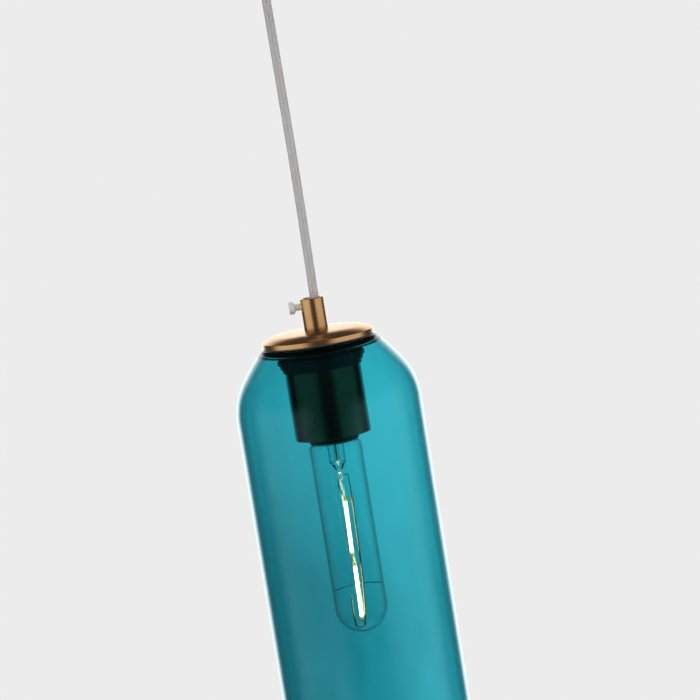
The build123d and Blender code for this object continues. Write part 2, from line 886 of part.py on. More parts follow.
pieces = {
    "canopy": canopy(),
    "ceiling_bracket": ceiling_bracket(),
    "canopy_side_screws": canopy_side_screws(),
    "terminal_block": terminal_block(),
    "terminal_block_screws": terminal_block_screws(),
    "ceiling_cores": ceiling_cores(),
    "ceiling_cord_tail": ceiling_cord_tail(),
    "ceiling_nut": hex_nut(canopy_wall - canopy_height),
    "ceiling_nipple": nipple(
        -canopy_height - nipple_grip_turns,
        canopy_wall - canopy_height + nut_height + nipple_spare,
    ),
    "ceiling_cord_grip": Pos(0, 0, ceiling_mouth) * Rot(180, 0, 0) * cord_grip(),
    "ceiling_grip_screw": ceiling_grip_screw(),
    "cord": cord(),
    "lamp_cord_grip": Pos(0, 0, lamp_mouth) * cord_grip(),
    "lamp_cord_tail": lamp_cord_tail(),
    "lamp_nipple": nipple(lamp_nipple_foot(), grip_foot + nipple_grip_turns),
    "cap_disc": cap_disc(),
    "nipple_washer": tube(
        washer_radius, nipple_radius + slip_fit, lamp_nut_top, lamp_nut_top + washer_height
    ),
    "nipple_nut": hex_nut(lamp_nut_top - nut_height),
    "upper_gasket": gasket(cap_radius - gasket_width, cap_radius - cap_edge, rim_z),
    "glass_shade": glass_shade(),
    "lower_gasket": gasket(cap_radius - 1.5 * gasket_width, cap_radius - gasket_width / 2, flange_under),
    "clamp_plate": clamp_plate(),
    "rubber_washer": rubber_washer(),
    "ring_nut": ring_nut(),
    "holder_sleeve": holder_sleeve(),
    "holder_cap": holder_cap(),
    "holder_body": holder_body(),
    "holder_terminal_screws": terminal_screws(),
    "lamp_cores": lamp_cores(),
    "screw_shell": screw_shell(),
    "centre_contact": centre_contact(),
    "thumb_screw_shank": thumb_screw_shank(),
    "thumb_screw_head": thumb_screw_head(),
    "bulb_base_shell": bulb_base_shell(),
    "bulb_insulator": bulb_insulator(),
    "bulb_contact": bulb_contact(),
    "base_cement": base_cement(),
    "bulb_glass": bulb_glass(),
    "glass_mount": glass_mount(),
    "exhaust_tube": exhaust_tube(),
    "inner_leads": inner_leads(),
    "short_lead": short_lead(),
    "long_lead": long_lead(),
    "crimp_sleeve": crimp_sleeve(),
    "return_wire": return_wire(),
    "upper_filament": filament(upper_lean, upper_start, upper_end),
    "filament_link": filament_link(),
    "lower_filament": filament(lower_lean, lower_start, lower_end),
    "filament_tail": filament_tail(),
    "anchor_wire": anchor_wire(),
}

os.makedirs("parts", exist_ok=True)
for name, shape in pieces.items():
    export_step(shape, f"parts/{name}.step")
    print(name, round(shape.volume, 1))
print("cord length", upper_pivot - lower_pivot)
print("overall height", shade_length - glass_top)
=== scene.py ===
import math

import bmesh
import bpy
from mathutils import Matrix, Quaternion, Vector


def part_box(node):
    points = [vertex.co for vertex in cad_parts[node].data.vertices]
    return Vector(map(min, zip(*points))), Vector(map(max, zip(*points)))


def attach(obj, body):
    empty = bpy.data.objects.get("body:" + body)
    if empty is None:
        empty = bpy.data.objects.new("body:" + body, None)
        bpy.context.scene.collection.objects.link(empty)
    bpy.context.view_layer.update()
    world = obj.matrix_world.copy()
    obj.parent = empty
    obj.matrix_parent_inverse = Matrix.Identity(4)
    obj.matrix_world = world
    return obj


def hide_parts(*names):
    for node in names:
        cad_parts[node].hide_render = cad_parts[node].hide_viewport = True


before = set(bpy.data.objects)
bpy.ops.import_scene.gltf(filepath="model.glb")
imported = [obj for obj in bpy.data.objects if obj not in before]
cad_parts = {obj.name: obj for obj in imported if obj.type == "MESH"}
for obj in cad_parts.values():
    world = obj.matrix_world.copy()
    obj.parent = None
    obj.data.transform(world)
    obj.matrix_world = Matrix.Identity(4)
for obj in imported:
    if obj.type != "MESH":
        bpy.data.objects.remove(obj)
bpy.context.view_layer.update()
print("frame loaded:", len(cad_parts), "nodes")


class Signal:
    # A socket that can be added, multiplied and so on; each operator adds a Math node
    def __init__(self, board, socket):
        self.board = board
        self.socket = socket

    def out(self, name):
        return Signal(self.board, self.socket.node.outputs[name])

    def __add__(self, other):
        return self.board.maths("ADD", self, other)

    def __radd__(self, other):
        return self.board.maths("ADD", other, self)

    def __sub__(self, other):
        return self.board.maths("SUBTRACT", self, other)

    def __rsub__(self, other):
        return self.board.maths("SUBTRACT", other, self)

    def __mul__(self, other):
        return self.board.maths("MULTIPLY", self, other)

    def __rmul__(self, other):
        return self.board.maths("MULTIPLY", other, self)

    def __truediv__(self, other):
        return self.board.maths("DIVIDE", self, other)

    def __rtruediv__(self, other):
        return self.board.maths("DIVIDE", other, self)

    def __neg__(self):
        return self.board.maths("MULTIPLY", self, -1.0)


class Board:
    # Wires one node tree
    def __init__(self, tree):
        self.tree = tree
        tree.nodes.clear()

    def node(self, kind, settings=None, sockets=None):
        made = self.tree.nodes.new(kind)
        for name, value in (settings or {}).items():
            setattr(made, name, value)
        for key, value in (sockets or {}).items():
            if isinstance(value, Signal):
                self.tree.links.new(value.socket, made.inputs[key])
            else:
                made.inputs[key].default_value = value
        if not made.outputs:
            return made
        return Signal(self, next(s for s in made.outputs if s.enabled))

    def maths(self, operation, *values):
        return self.node("ShaderNodeMath", {"operation": operation}, dict(enumerate(values)))

    def vector(self, operation, *values, **more):
        sockets = {**dict(enumerate(values)), **more}
        return self.node("ShaderNodeVectorMath", {"operation": operation}, sockets)

    def spread(self, value, low, high, toLow=0.0, toHigh=1.0):
        # Smooth step of a value from low to high
        settings = {"interpolation_type": "SMOOTHSTEP"}
        sockets = {
            "Value": value, "From Min": low, "From Max": high,
            "To Min": toLow, "To Max": toHigh,
        }
        return self.node("ShaderNodeMapRange", settings, sockets)

    def mixColour(self, share, first, second):
        sockets = {0: share, 6: tinted(first), 7: tinted(second)}
        return self.node("ShaderNodeMix", {"data_type": "RGBA"}, sockets)

    def objectPlace(self):
        return self.node("ShaderNodeTexCoord").out("Object")

    def noise(self, place, scale, detail=2.0, roughness=0.5, dimensions="3D"):
        sockets = {"Vector": place, "Scale": scale, "Detail": detail, "Roughness": roughness}
        return self.node("ShaderNodeTexNoise", {"noise_dimensions": dimensions}, sockets)

    def bump(self, height, strength, distance):
        sockets = {"Height": height, "Strength": strength, "Distance": distance}
        return self.node("ShaderNodeBump", None, sockets)


def tinted(colour):
    return colour if isinstance(colour, Signal) else (*colour, 1.0)


def newFinish(name):
    material = bpy.data.materials.new(name)
    material.use_nodes = True
    return material, Board(material.node_tree)


def finishWith(board, sockets):
    # Principled shader with these sockets, into the material's output
    for key in ("Base Color", "Emission Color", "Specular Tint"):
        if key in sockets:
            sockets[key] = tinted(sockets[key])
    shader = board.node("ShaderNodeBsdfPrincipled", None, sockets)
    board.node("ShaderNodeOutputMaterial", None, {"Surface": shader})


def addObject(name, data):
    obj = bpy.data.objects.new(name, data)
    bpy.context.scene.collection.objects.link(obj)
    return obj


cameraSetup = {
    "aim": (0.0176, 0.0, -0.2673),
    "distance": 2.05,
    "elevation": 6.05,
    "roll": -9.18,
    "viewWidth": 0.41265,
    "sensor": 36.0,
    "nearest": 0.05,
    "farthest": 50.0,
}


def makeCamera():
    aim = Vector(cameraSetup["aim"])
    rise = math.radians(cameraSetup["elevation"])
    back = Vector((0.0, -math.cos(rise), math.sin(rise)))
    data = bpy.data.cameras.new("camera")
    camera = addObject("camera", data)
    data.sensor_width = cameraSetup["sensor"]
    data.lens = cameraSetup["sensor"] * cameraSetup["distance"] / cameraSetup["viewWidth"]
    data.clip_start = cameraSetup["nearest"]
    data.clip_end = cameraSetup["farthest"]
    level = (-back).to_track_quat("-Z", "Y")
    turn = Quaternion((0.0, 0.0, 1.0), math.radians(cameraSetup["roll"]))
    camera.rotation_mode = "QUATERNION"
    camera.rotation_quaternion = level @ turn
    camera.location = aim + back * cameraSetup["distance"]
    bpy.context.scene.camera = camera


# Azimuths are degrees round the lamp from the camera's side, to the right; levels are brightness
studioSetup = {
    "leftBox": {"middle": -62.0, "half": 38.0, "soft": 24.0, "level": 0.78},
    "rightBox": {"middle": 66.0, "half": 38.0, "soft": 24.0, "level": 0.74},
    "boxFoot": (-60.0, -30.0),
    "boxTop": (2.0, 26.0),
    "backdrop": {"half": 32.0, "soft": 8.0, "top": (18.0, 40.0)},  # what shiny surfaces mirror
    "backdropLevel": 1.5,
    "glassBack": {"half": 40.0, "soft": 8.0, "top": (60.0, 85.0)},  # what shows through glass
    "shade": 0.055,
    "softLevel": 0.85,
    "softSpan": (0.8, 1.15),
    "paleView": 0.84,
    "lampPower": 5.0,
    "lampSize": 0.9,
    "lampDistance": 1.6,
    "lampRise": 0.45,
    "lampAim": (0.0, 0.0, -0.3),
    "bounces": 24,
}


def softBox(board, azimuth, box):
    inner = box["half"] - box["soft"] / 2
    outer = box["half"] + box["soft"] / 2
    away = board.maths("ABSOLUTE", azimuth - box["middle"])
    return board.spread(away, inner, outer, box["level"], 0.0)


def backWall(board, azimuth, height, wall):
    edge = 180.0 - wall["half"]
    away = board.maths("ABSOLUTE", azimuth)
    sides = board.spread(away, edge - wall["soft"], edge + wall["soft"])
    return sides * board.spread(height, *wall["top"], 1.0, 0.0)


def makeWorld():
    world = bpy.data.worlds.new("studio")
    world.use_nodes = True
    bpy.context.scene.world = world
    board = Board(world.node_tree)
    way = board.node("ShaderNodeTexCoord").out("Generated")
    parts = board.node("ShaderNodeSeparateXYZ", None, {0: way})
    across, along, up = parts, parts.out("Y"), parts.out("Z")
    azimuth = board.maths("ARCTAN2", across, -along) * (180.0 / math.pi)
    height = board.maths("ARCSINE", up) * (180.0 / math.pi)
    boxes = softBox(board, azimuth, studioSetup["leftBox"])
    boxes = boxes + softBox(board, azimuth, studioSetup["rightBox"])
    reach = board.spread(height, *studioSetup["boxTop"], 1.0, 0.0)
    reach = reach * board.spread(height, *studioSetup["boxFoot"])
    backdrop = backWall(board, azimuth, height, studioSetup["backdrop"])
    glassBack = backWall(board, azimuth, height, studioSetup["glassBack"])
    soft = studioSetup["softLevel"] * board.spread(up, -1.0, 1.0, *studioSetup["softSpan"])
    light = board.node("ShaderNodeLightPath")
    throughGlass = board.maths("GREATER_THAN", light.out("Transmission Depth"), 0.5)
    backdrop = backdrop * (1.0 - throughGlass) * studioSetup["backdropLevel"]
    backdrop = backdrop + glassBack * throughGlass
    mirrored = boxes * reach + backdrop + studioSetup["shade"]
    diffuse = board.maths("GREATER_THAN", light.out("Diffuse Depth"), 0.5)
    reflected = board.maths("GREATER_THAN", light.out("Glossy Depth"), 0.5)
    straight = 1.0 - board.maths("MAXIMUM", diffuse, reflected)
    seen = light.out("Is Camera Ray")
    level = diffuse * soft + (1.0 - diffuse) * reflected * mirrored
    level = level + straight * (1.0 - seen * (1.0 - studioSetup["paleView"]))
    sky = board.node("ShaderNodeBackground", None, {"Color": (1.0, 1.0, 1.0, 1.0), "Strength": level})
    board.node("ShaderNodeOutputWorld", None, {"Surface": sky})


def makeLamps():
    middle = Vector(studioSetup["lampAim"])
    for name, box in (("leftLamp", studioSetup["leftBox"]), ("rightLamp", studioSetup["rightBox"])):
        turn = math.radians(box["middle"])
        way = Vector((math.sin(turn), -math.cos(turn), studioSetup["lampRise"])).normalized()
        data = bpy.data.lights.new(name, "AREA")
        data.energy = studioSetup["lampPower"]
        data.size = studioSetup["lampSize"]
        lamp = addObject(name, data)
        lamp.location = middle + way * studioSetup["lampDistance"]
        lamp.rotation_mode = "QUATERNION"
        lamp.rotation_quaternion = (-way).to_track_quat("-Z", "Y")
        lamp.visible_glossy = False
        lamp.visible_transmission = False
        lamp.visible_camera = False


floorSetup = {
    "height": -1.6,
    "radius": 1.6,
    "fadeFrom": 0.6,
    "fadeTo": 1.552,
    "segments": 96,
    "colour": (0.8, 0.79, 0.78),
    "darker": 0.97,
}


def makeFloor():
    material, board = newFinish("paleFloor")
    place = board.objectPlace()
    away = board.vector("LENGTH", board.vector("MULTIPLY", place, (1.0, 1.0, 0.0))).out("Value")
    fade = board.spread(away, floorSetup["fadeFrom"], floorSetup["fadeTo"], 1.0, 0.0)
    grain = board.noise(place, 40.0, 3.0)
    darker = [c * floorSetup["darker"] for c in floorSetup["colour"]]
    tone = board.mixColour(grain, darker, floorSetup["colour"])
    finishWith(board, {"Base Color": tone, "Roughness": 0.9, "Alpha": fade})
    mesh = bpy.data.meshes.new("floor")
    work = bmesh.new()
    bmesh.ops.create_circle(
        work, cap_ends=True, segments=floorSetup["segments"], radius=floorSetup["radius"],
        matrix=Matrix.Translation((0.0, 0.0, floorSetup["height"])),
    )
    work.to_mesh(mesh)
    work.free()
    mesh.materials.append(material)
    addObject("floor", mesh)


makeCamera()
makeWorld()
makeLamps()
makeFloor()
scene = bpy.context.scene
scene.view_settings.view_transform = "Standard"
scene.cycles.max_bounces = studioSetup["bounces"]
scene.cycles.transmission_bounces = studioSetup["bounces"]
print("camera, light and floor ready")


brassSetup = {
    "colour": (0.69, 0.405, 0.185),
    "dull": (0.59, 0.33, 0.145),
    "roughness": (0.19, 0.28),
    # Painted shade: darker copy of the brass for the sleeve inside the glass shade
    "shadedBrass": (0.17, 0.092, 0.05),
    "shadedBrassDull": (0.12, 0.065, 0.037),
    "lines": 5200.0,
    "lineDepth": 0.000012,
    "lineStrength": 0.14,
    "lineShare": 0.25,
    "lineLight": 1.12,
    "clouds": 90.0,
}


def turnedLines(board, place, scale):
    # Noise that runs in rings round the upright axis, as a lathe or a polishing wheel leaves it
    parts = board.node("ShaderNodeSeparateXYZ", None, {0: place})
    radius = board.vector("LENGTH", board.vector("MULTIPLY", place, (1.0, 1.0, 0.0))).out("Value")
    ring = board.node("ShaderNodeCombineXYZ", None, {0: radius, 1: parts.out("Z")})
    return board.noise(ring, scale, 4.0, 0.6, "2D")


def satinBrass(name, colour, dull):
    material, board = newFinish(name)
    place = board.objectPlace()
    lines = turnedLines(board, place, brassSetup["lines"])
    cloud = board.noise(place, brassSetup["clouds"], 3.0)
    rough = board.spread(lines * 0.7 + cloud * 0.3, 0.25, 0.75, *brassSetup["roughness"])
    tone = board.mixColour(board.spread(cloud, 0.3, 0.75), colour, dull)
    bright = [min(1.0, c * brassSetup["lineLight"]) for c in colour]
    tone = board.mixColour(lines * brassSetup["lineShare"], tone, bright)
    normal = board.bump(lines, brassSetup["lineStrength"], brassSetup["lineDepth"])
    finishWith(board, {"Base Color": tone, "Metallic": 1.0, "Roughness": rough, "Normal": normal})
    return material


def platedMetal(name, colour, roughness, scale, spots=0.15, metallic=1.0):
    # Plated or drawn metal: faint clouds in tone and polish
    material, board = newFinish(name)
    place = board.objectPlace()
    cloud = board.noise(place, scale, 4.0, 0.55)
    fine = board.noise(place, scale * 9.0, 2.0)
    tone = board.mixColour(cloud, colour, [c * (1.0 - spots) for c in colour])
    rough = board.spread(cloud * 0.6 + fine * 0.4, 0.3, 0.7, roughness * 0.8, roughness * 1.25)
    normal = board.bump(fine, 0.15, 0.00002)
    finishWith(board, {"Base Color": tone, "Metallic": metallic, "Roughness": rough, "Normal": normal})
    return material


def mouldedPlastic(name, colour, roughness, grain, depth, shine=0.45, through=0.0):
    # Moulded or pressed surface with a fine grain and slight unevenness in tone
    material, board = newFinish(name)
    place = board.objectPlace()
    fine = board.noise(place, grain, 3.0, 0.6)
    cloud = board.noise(place, grain / 14.0, 2.0)
    tone = board.mixColour(cloud, [c * 0.86 for c in colour], [min(1.0, c * 1.14) for c in colour])
    rough = board.spread(fine, 0.3, 0.7, roughness - 0.06, roughness + 0.08)
    normal = board.bump(fine, 0.3, depth)
    finishWith(board, {
        "Base Color": tone, "Roughness": rough, "Normal": normal, "Specular IOR Level": shine,
        "Transmission Weight": through,
    })
    return material


finishes = {
    "satin_brass": satinBrass("satinBrass", brassSetup["colour"], brassSetup["dull"]),
    # The same satin brass made darker: painted shade for the sleeve inside the glass
    "dark_bronze": satinBrass("brassInPaintedShade", brassSetup["shadedBrass"], brassSetup["shadedBrassDull"]),
    "knurled_nickel": platedMetal("knurledNickel", (0.98, 0.97, 0.97), 0.34, 500.0, 0.12, 0.5),
    "nickel": platedMetal("brightNickel", (0.86, 0.85, 0.84), 0.16, 400.0, 0.06),
    "zinc_steel": platedMetal("zincSteel", (0.62, 0.63, 0.64), 0.34, 220.0, 0.2),
    "contact_brass": platedMetal("contactBrass", (0.68, 0.52, 0.27), 0.28, 300.0, 0.18),
    "base_nickel": platedMetal("nickelShell", (0.66, 0.65, 0.62), 0.24, 260.0, 0.14),
    "lead_wire": platedMetal("drawnWire", (0.30, 0.27, 0.24), 0.38, 500.0, 0.25),
    "core_insulation": mouldedPlastic("coreInsulation", (0.30, 0.16, 0.09), 0.38, 900.0, 0.00002),
    "block_plastic": mouldedPlastic("blockNylon", (0.84, 0.83, 0.78), 0.42, 700.0, 0.00003),
    "silicone": mouldedPlastic("siliconeSheet", (0.36, 0.37, 0.36), 0.4, 500.0, 0.00002, 0.4, 0.85),
    "black_rubber": mouldedPlastic("blackRubber", (0.012, 0.011, 0.011), 0.62, 800.0, 0.00004, 0.25),
    "black_plate": mouldedPlastic("blackLacquer", (0.012, 0.011, 0.011), 0.36, 350.0, 0.00001, 0.25),
    "holder_black": mouldedPlastic("blackMoulding", (0.014, 0.012, 0.011), 0.40, 600.0, 0.00003, 0.3),
    "base_glass": mouldedPlastic("blackFusedGlass", (0.02, 0.02, 0.024), 0.14, 300.0, 0.00001),
    "cement": mouldedPlastic("basingCement", (0.70, 0.64, 0.52), 0.75, 1100.0, 0.00008),
}


glassSetup = {
    "clear": (0.985, 1.0, 1.0),
    "breath": (0.97, 0.995, 0.995),
    # Painted shade: dark tint where clear glass is seen edge on, giving the bulb a dark outline
    "edge": (0.12, 0.17, 0.17),
    "rim": (0.58, 0.80),
    "index": 1.46,
}


def clearGlass():
    material, board = newFinish("clearGlass")
    place = board.objectPlace()
    breath = board.noise(place, 60.0, 2.0)
    tone = board.mixColour(breath, glassSetup["breath"], glassSetup["clear"])
    # Painted shade: clear glass darkened where it is seen edge on
    facing = board.node("ShaderNodeLayerWeight", None, {"Blend": 0.5}).out("Facing")
    tone = board.mixColour(board.spread(facing, *glassSetup["rim"]), tone, glassSetup["edge"])
    finishWith(board, {
        "Base Color": tone, "Roughness": 0.0, "IOR": glassSetup["index"], "Transmission Weight": 1.0,
    })
    return material


finishes["clear_glass"] = clearGlass()


glowSetup = {
    "phosphor": (0.9, 0.62, 0.16),
    "white": (1.0, 0.27, 0.095),
    "orange": (0.055, 0.0063, 0.0001),
    "power": 110.0,
    "endFrom": 0.0012,
    "endTo": 0.0026,
    "chipPitch": 0.0013,
    "chipRipple": 0.06,
}


def filamentGlow(name, low, high):
    # Lit phosphor: warm white along the strip, orange at its two ends
    material, board = newFinish(name)
    place = board.objectPlace()
    z = board.node("ShaderNodeSeparateXYZ", None, {0: place}).out("Z")
    fromEnd = board.maths("MINIMUM", z - low, high - z)
    middle = board.spread(fromEnd, glowSetup["endFrom"], glowSetup["endTo"])
    ripple = glowSetup["chipRipple"]
    chips = board.maths("SINE", z * (2.0 * math.pi / glowSetup["chipPitch"])) * ripple + (1.0 - ripple)
    glow = board.mixColour(middle, glowSetup["orange"], glowSetup["white"])
    glow = board.vector("SCALE", glow, Scale=chips)
    finishWith(board, {
        "Base Color": glowSetup["phosphor"], "Roughness": 0.5,
        "Emission Color": glow, "Emission Strength": glowSetup["power"],
    })
    return material


def spanOf(node):
    low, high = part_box(node)
    return low.z, high.z


finishByNode = {
    # Painted shade: the sleeve gets the darkened copy of the brass
    "holder_sleeve": finishes["dark_bronze"],
    "thumb_screw_head": finishes["knurled_nickel"],
    "thumb_screw_shank": finishes["knurled_nickel"],
    "upper_filament": filamentGlow("upperGlow", *spanOf("upper_filament")),
    "lower_filament": filamentGlow("lowerGlow", *spanOf("lower_filament")),
}
for name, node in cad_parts.items():
    for index, used in enumerate(node.data.materials):
        base = used.name.split(".")[0]
        chosen = finishByNode.get(name) or finishes.get(base)
        if chosen:
            node.data.materials[index] = chosen
print("finishes ready:", len(finishes))


# Clear jacket round silver strands
cordSetup = {
    "radius": 0.00275,
    "route": (
        (0.0018, 0.0, -0.0414), (0.0023, 0.0, -0.1040),
        (0.0026, 0.0, -0.1720), (0.0018, 0.0, -0.2346),
    ),
    "strands": 14,
    "layRadius": 0.00182,
    "strandRadius": 0.00030,
    "coreRadius": 0.00164,
    "lean": -0.0002,
    "pitch": 0.017,
    "step": 0.0011,
    "jacketTone": (1.0, 0.995, 0.995),
    "jacketHaze": (0.985, 0.98, 0.98),
    "silver": (1.0, 0.99, 0.985),
    "silverDull": (0.88, 0.86, 0.855),
    "silverMetal": 0.3,
    "silverRoughness": (0.22, 0.4),
    "strandSides": 6,
    "coreSides": 24,
    "curveSteps": 24,
    "jacketRings": 8,
}


def cordRoute(aside=0.0):
    curve = bpy.data.curves.new("cordRoute", "CURVE")
    curve.dimensions = "3D"
    spline = curve.splines.new("NURBS")
    spline.points.add(len(cordSetup["route"]) - 1)
    for point, place in zip(spline.points, cordSetup["route"]):
        point.co = (place[0] + aside, place[1], place[2], 1.0)
    spline.order_u = 3
    spline.use_endpoint_u = True
    spline.resolution_u = cordSetup["curveSteps"]
    return curve


def jacketFinish():
    material, board = newFinish("clearJacket")
    place = board.objectPlace()
    haze = board.noise(place, 300.0, 2.0)
    tone = board.mixColour(haze, cordSetup["jacketHaze"], cordSetup["jacketTone"])
    finishWith(board, {
        "Base Color": tone, "Roughness": 0.03, "IOR": 1.45, "Transmission Weight": 1.0,
        "Specular IOR Level": 1.0,
    })
    return material


def strandFinish():
    material, board = newFinish("silverStrand")
    place = board.objectPlace()
    fleck = board.noise(place, 2600.0, 2.0, 0.7)
    share = board.spread(fleck, 0.35, 0.65)
    tone = board.mixColour(share, cordSetup["silverDull"], cordSetup["silver"])
    rough = board.spread(fleck, 0.3, 0.7, *cordSetup["silverRoughness"])
    finishWith(board, {
        "Base Color": tone, "Metallic": cordSetup["silverMetal"], "Roughness": rough,
    })
    return material


def newTree(name, numbers, material):
    # Geometry tree with named number inputs, one geometry in and one out
    tree = bpy.data.node_groups.new(name, "GeometryNodeTree")
    tree.interface.new_socket(name="Geometry", in_out="INPUT", socket_type="NodeSocketGeometry")
    tree.interface.new_socket(name="Geometry", in_out="OUTPUT", socket_type="NodeSocketGeometry")
    for label, value in numbers.items():
        kind = "NodeSocketInt" if isinstance(value, int) else "NodeSocketFloat"
        tree.interface.new_socket(name=label, in_out="INPUT", socket_type=kind)
    board = Board(tree)
    given = board.node("NodeGroupInput")

    def close(geometry):
        whole = board.node("GeometryNodeRealizeInstances", None, {0: geometry})
        painted = board.node("GeometryNodeSetMaterial", None, {"Geometry": whole, "Material": material})
        board.node("NodeGroupOutput", None, {0: painted})

    return tree, board, given, close


def runTree(obj, tree, numbers):
    # Sets the inputs by identifier, then keeps the evaluated result as a plain mesh
    modifier = obj.modifiers.new(tree.name, "NODES")
    modifier.node_group = tree
    for item in tree.interface.items_tree:
        if item.in_out == "INPUT" and item.name in numbers:
            modifier[item.identifier] = numbers[item.name]
    ready = obj.evaluated_get(bpy.context.evaluated_depsgraph_get())
    mesh = bpy.data.meshes.new_from_object(ready)
    obj.modifiers.remove(modifier)
    return mesh


def smooth(obj):
    for face in obj.data.polygons:
        face.use_smooth = True


def evenCurve(board, line, length):
    sockets = {"Curve": line, "Length": length}
    return board.node("GeometryNodeResampleCurve", {"mode": "LENGTH"}, sockets)


def roundRod(board, line, sides, radius):
    circle = board.node(
        "GeometryNodeCurvePrimitiveCircle", None, {"Resolution": sides, "Radius": radius},
    )
    sockets = {"Curve": line, "Profile Curve": circle, "Fill Caps": True}
    return board.node("GeometryNodeCurveToMesh", None, sockets)


def strandTree(material, numbers):
    # Strands wound both ways round the route, over a round core
    tree, board, given, close = newTree("woundStrands", numbers, material)
    line = board.node("GeometryNodeMeshToCurve", None, {"Mesh": given.out("Geometry")})
    line = evenCurve(board, line, given.out("Step"))
    starts = board.node(
        "GeometryNodeMeshLine", None, {"Count": given.out("Strands"), "Offset": (0.0, 0.0, 0.0)},
    )
    number = board.node("GeometryNodeInputIndex")
    starts = board.node(
        "GeometryNodeStoreNamedAttribute", {"data_type": "FLOAT", "domain": "POINT"},
        {"Geometry": starts, "Name": "strand", "Value": number},
    )
    copies = board.node("GeometryNodeInstanceOnPoints", None, {"Points": starts, "Instance": line})
    copies = board.node("GeometryNodeRealizeInstances", None, {0: copies})
    strand = board.node("GeometryNodeInputNamedAttribute", {"data_type": "FLOAT"}, {"Name": "strand"})
    side = board.maths("MODULO", strand, 2.0) * -2.0 + 1.0
    along = board.node("GeometryNodeSplineParameter").out("Length")
    turn = strand * (2.0 * math.pi) / given.out("Strands")
    turn = turn + side * along * (2.0 * math.pi) / given.out("Pitch")
    normal = board.node("GeometryNodeInputNormal")
    across = board.vector("CROSS_PRODUCT", board.node("GeometryNodeInputTangent"), normal)
    # One lay runs half a strand's radius further out, and the other as much further in
    reach = given.out("Lay Radius") + side * given.out("Strand Radius") * 0.5
    offset = board.vector(
        "ADD",
        board.vector("SCALE", normal, Scale=board.maths("COSINE", turn) * reach),
        board.vector("SCALE", across, Scale=board.maths("SINE", turn) * reach),
    )
    wound = board.node("GeometryNodeSetPosition", None, {"Geometry": copies, "Offset": offset})
    wires = roundRod(board, wound, cordSetup["strandSides"], given.out("Strand Radius"))
    core = roundRod(board, line, cordSetup["coreSides"], given.out("Core Radius"))
    joined = board.node("GeometryNodeJoinGeometry")
    board.tree.links.new(wires.socket, joined.socket.node.inputs[0])
    board.tree.links.new(core.socket, joined.socket.node.inputs[0])
    close(joined)
    return tree


def makeCord(strandMaterial):
    jacketCurve = cordRoute()
    routeCurve = cordRoute(cordSetup["lean"])
    carrier = addObject("cordCarrier", routeCurve)
    bpy.context.view_layer.update()
    ready = carrier.evaluated_get(bpy.context.evaluated_depsgraph_get())
    routeMesh = bpy.data.meshes.new_from_object(ready)
    bpy.data.objects.remove(carrier)
    strands = addObject("cordStrands", routeMesh)
    numbers = {
        "Strands": cordSetup["strands"],
        "Lay Radius": cordSetup["layRadius"],
        "Strand Radius": cordSetup["strandRadius"],
        "Core Radius": cordSetup["coreRadius"],
        "Pitch": cordSetup["pitch"],
        "Step": cordSetup["step"],
    }
    tree = strandTree(strandMaterial, numbers)
    strands.data = runTree(strands, tree, numbers)
    smooth(strands)
    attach(strands, "cord")
    jacketCurve.bevel_depth = cordSetup["radius"]
    jacketCurve.bevel_resolution = cordSetup["jacketRings"]
    jacketCurve.use_fill_caps = True
    jacketCurve.materials.append(jacketFinish())
    jacket = addObject("cordJacket", jacketCurve)
    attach(jacket, "cord")
    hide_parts("cord")


# Phosphor laid over each row of chips: one low swelling per chip
beadSetup = {"swell": 1.10, "pitch": 0.0013, "segments": 14, "rings": 8, "endInset": 0.0009}


def beadTree(material, numbers):
    tree, board, given, close = newTree("phosphorBeads", numbers, material)
    line = board.node("GeometryNodeMeshToCurve", None, {"Mesh": given.out("Geometry")})
    line = evenCurve(board, line, given.out("Pitch"))
    bead = board.node(
        "GeometryNodeMeshUVSphere", None,
        {"Segments": beadSetup["segments"], "Rings": beadSetup["rings"], "Radius": given.out("Radius")},
    )
    close(board.node("GeometryNodeInstanceOnPoints", None, {"Points": line, "Instance": bead}))
    return tree


def endMiddle(node, height, reach):
    # Middle of the vertices near one height, in the node's own place
    near = [node.matrix_world @ v.co for v in node.data.vertices]
    near = [place for place in near if abs(place.z - height) < reach]
    return sum(near, Vector()) / len(near)


def makeBeads(name, source):
    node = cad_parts[source]
    low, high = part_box(source)
    foot = endMiddle(node, low.z, beadSetup["endInset"])
    head = endMiddle(node, high.z, beadSetup["endInset"])
    way = (head - foot).normalized() * beadSetup["endInset"]
    mesh = bpy.data.meshes.new(name)
    mesh.from_pydata([foot + way, head - way], [(0, 1)], [])
    beads = addObject(name, mesh)
    radius = (high.y - low.y) / 2.0 * beadSetup["swell"]
    numbers = {"Pitch": beadSetup["pitch"], "Radius": radius}
    beads.data = runTree(beads, beadTree(finishByNode[source], numbers), numbers)
    smooth(beads)
    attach(beads, "bulb")


makeBeads("upperBeads", "upper_filament")
makeBeads("lowerBeads", "lower_filament")
print("filament beads ready")

silverStrand = strandFinish()
makeCord(silverStrand)
for name in ("ceiling_cord_tail", "lamp_cord_tail"):
    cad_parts[name].data.materials[0] = silverStrand
print("cord ready")


